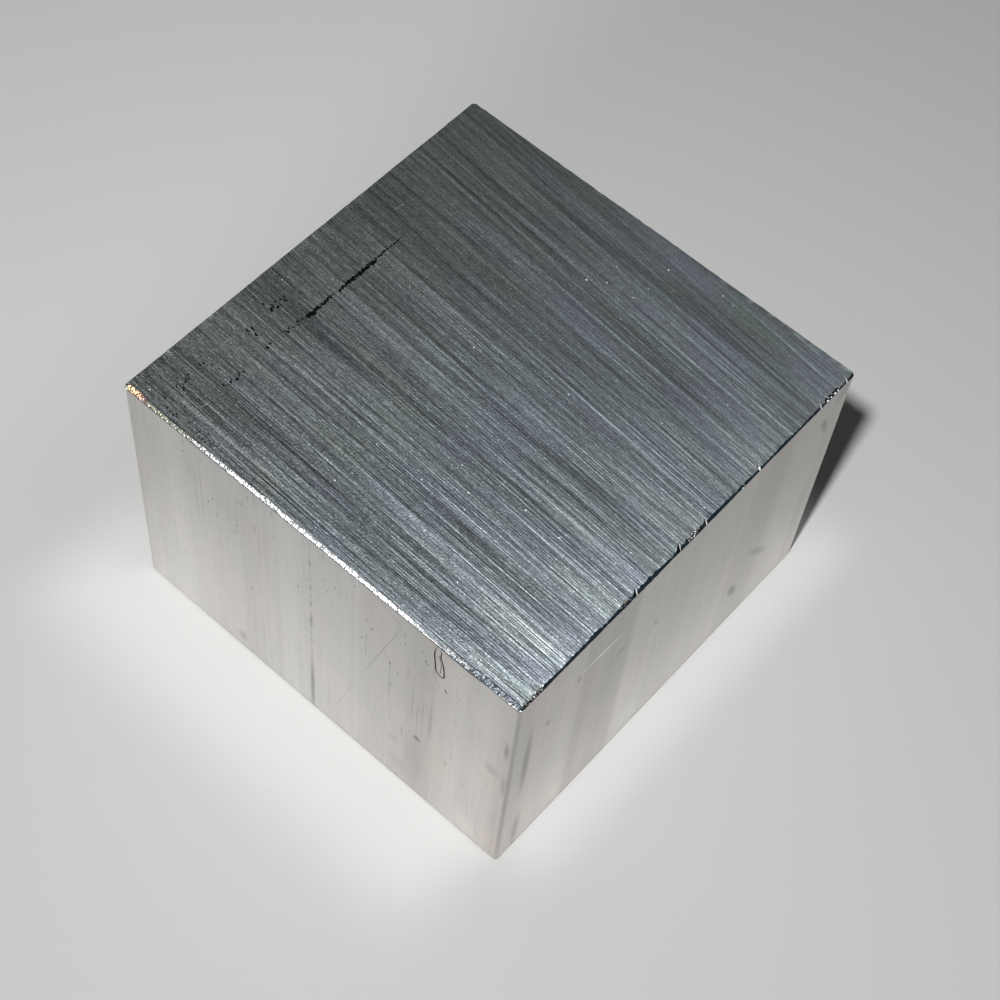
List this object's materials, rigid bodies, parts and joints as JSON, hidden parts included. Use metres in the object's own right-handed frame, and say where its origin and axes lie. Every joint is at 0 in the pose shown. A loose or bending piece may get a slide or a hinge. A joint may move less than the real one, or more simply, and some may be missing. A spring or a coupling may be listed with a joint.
{
  "type": "aluminium block",
  "caption": "Short block sawn from solid square aluminium bar, with streaked sawn ends and smooth drawn sides.",
  "frame": {"origin": "centre of the sawn end that the block stands on", "axes": "+Z along the bar, up to the other sawn end; -Y towards the front side face, whose upper rim is nicked; -X towards the left side face, whose upper rim has the dressed burr"},
  "size_m": [0.05, 0.05, 0.035],
  "materials": {
    "aluminium": "satin drawn sides, streaked sawn ends"
  },
  "bodies": {
    "root": {"block": "aluminium"}
  },
  "joints": []
}
